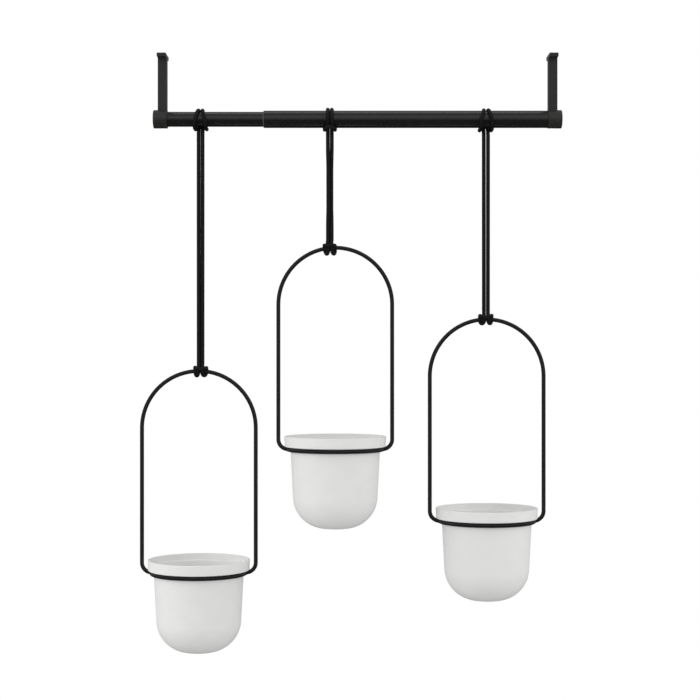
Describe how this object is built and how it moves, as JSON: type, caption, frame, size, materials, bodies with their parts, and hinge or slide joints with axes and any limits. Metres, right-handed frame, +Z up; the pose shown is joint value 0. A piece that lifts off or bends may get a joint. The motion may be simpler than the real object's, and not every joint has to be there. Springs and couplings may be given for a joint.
{
  "type": "hanging planter",
  "caption": "Hanging planter: a telescopic ceiling rod on end brackets carries pots, each in a wire ring under a wire arch that hangs from a looped cord.",
  "frame": {"origin": "middle of the right foot's top face, which sits against the ceiling", "axes": "+Z up and out of the foot's top face, +X along the rod from the left bracket to the right one, +Y away from the viewer"},
  "size_m": [0.5379, 0.13, 0.7601],
  "materials": {
    "rod_metal": "smooth dark grey coating with a soft gloss",
    "bracket_metal": "satin dark grey powder coat",
    "screw_metal": "blackened steel",
    "cap": "satin moulded dark grey",
    "nylon": "natural nylon",
    "wire": "satin black powder coat",
    "cord": "round braided black cord",
    "pot": "smooth matt white"
  },
  "bodies": {
    "fixed_rod": {"right_bracket": "bracket_metal", "right_end_cap": "cap", "right_cap_screw": "screw_metal", "outer_tube": "rod_metal", "mouth_bush": "nylon"},
    "inner_rod": {"inner_tube": "rod_metal", "glide_plug": "nylon", "left_end_cap": "cap", "left_bracket": "bracket_metal", "left_cap_screw": "screw_metal"},
    "left_slider": {"left_upper_hitch": "cord"},
    "left_cord": {"left_strand_a": "cord", "left_strand_b": "cord"},
    "left_turn": {"left_lower_hitch": "cord"},
    "left_frame": {"left_frame_arch": "wire", "left_frame_ring": "wire"},
    "left_pot_body": {"left_pot": "pot"},
    "middle_slider": {"middle_upper_hitch": "cord"},
    "middle_cord": {"middle_strand_a": "cord", "middle_strand_b": "cord"},
    "middle_turn": {"middle_lower_hitch": "cord"},
    "middle_frame": {"middle_frame_arch": "wire", "middle_frame_ring": "wire"},
    "middle_pot_body": {"middle_pot": "pot"},
    "right_slider": {"right_upper_hitch": "cord"},
    "right_cord": {"right_strand_a": "cord", "right_strand_b": "cord"},
    "right_turn": {"right_lower_hitch": "cord"},
    "right_frame": {"right_frame_arch": "wire", "right_frame_ring": "wire"},
    "right_pot_body": {"right_pot": "pot"}
  },
  "joints": [
    {"name": "rod_extension", "type": "slide", "parent": "fixed_rod", "child": "inner_rod", "axis": [-1, 0, 0], "range_m": [-0.01, 0.17]},
    {"name": "left_hanger_slide", "type": "slide", "parent": "inner_rod", "child": "left_slider", "axis": [1, 0, 0], "range_m": [-0.03, 0.02]},
    {"name": "left_hanger_swing", "type": "hinge", "parent": "left_slider", "child": "left_cord", "pos_m": [-0.4484, 0, -0.082], "axis": [1, 0, 0], "range_deg": [-60, 60]},
    {"name": "left_hanger_twist", "type": "hinge", "parent": "left_cord", "child": "left_turn", "pos_m": [-0.4484, 0, -0.082], "axis": [0, 0, 1], "range_deg": [-180, 180]},
    {"name": "left_frame_rock", "type": "hinge", "parent": "left_turn", "child": "left_frame", "pos_m": [-0.4484, 0, -0.40273], "axis": [0.9995, 0, -0.0303], "range_deg": [-30, 30]},
    {"name": "left_pot_lift", "type": "slide", "parent": "left_frame", "child": "left_pot_body", "axis": [0, 0, 1], "range_m": [0, 0.11]},
    {"name": "middle_hanger_slide", "type": "slide", "parent": "fixed_rod", "child": "middle_slider", "axis": [1, 0, 0], "range_m": [-0.02, 0.038]},
    {"name": "middle_hanger_swing", "type": "hinge", "parent": "middle_slider", "child": "middle_cord", "pos_m": [-0.2837, 0, -0.082], "axis": [1, 0, 0], "range_deg": [-60, 60]},
    {"name": "middle_hanger_twist", "type": "hinge", "parent": "middle_cord", "child": "middle_turn", "pos_m": [-0.2837, 0, -0.082], "axis": [0, 0, 1], "range_deg": [-180, 180]},
    {"name": "middle_frame_rock", "type": "hinge", "parent": "middle_turn", "child": "middle_frame", "pos_m": [-0.2837, 0, -0.24593], "axis": [0.9955, 0, 0.095], "range_deg": [-30, 30]},
    {"name": "middle_pot_lift", "type": "slide", "parent": "middle_frame", "child": "middle_pot_body", "axis": [0, 0, 1], "range_m": [0, 0.11]},
    {"name": "right_hanger_slide", "type": "slide", "parent": "fixed_rod", "child": "right_slider", "axis": [1, 0, 0], "range_m": [-0.038, 0.065]},
    {"name": "right_hanger_swing", "type": "hinge", "parent": "right_slider", "child": "right_cord", "pos_m": [-0.0848, 0, -0.082], "axis": [1, 0, 0], "range_deg": [-60, 60]},
    {"name": "right_hanger_twist", "type": "hinge", "parent": "right_cord", "child": "right_turn", "pos_m": [-0.0848, 0, -0.082], "axis": [0, 0, 1], "range_deg": [-180, 180]},
    {"name": "right_frame_rock", "type": "hinge", "parent": "right_turn", "child": "right_frame", "pos_m": [-0.0848, 0, -0.33691], "axis": [0.9999, 0, 0.0138], "range_deg": [-30, 30]},
    {"name": "right_pot_lift", "type": "slide", "parent": "right_frame", "child": "right_pot_body", "axis": [0, 0, 1], "range_m": [0, 0.11]}
  ]
}
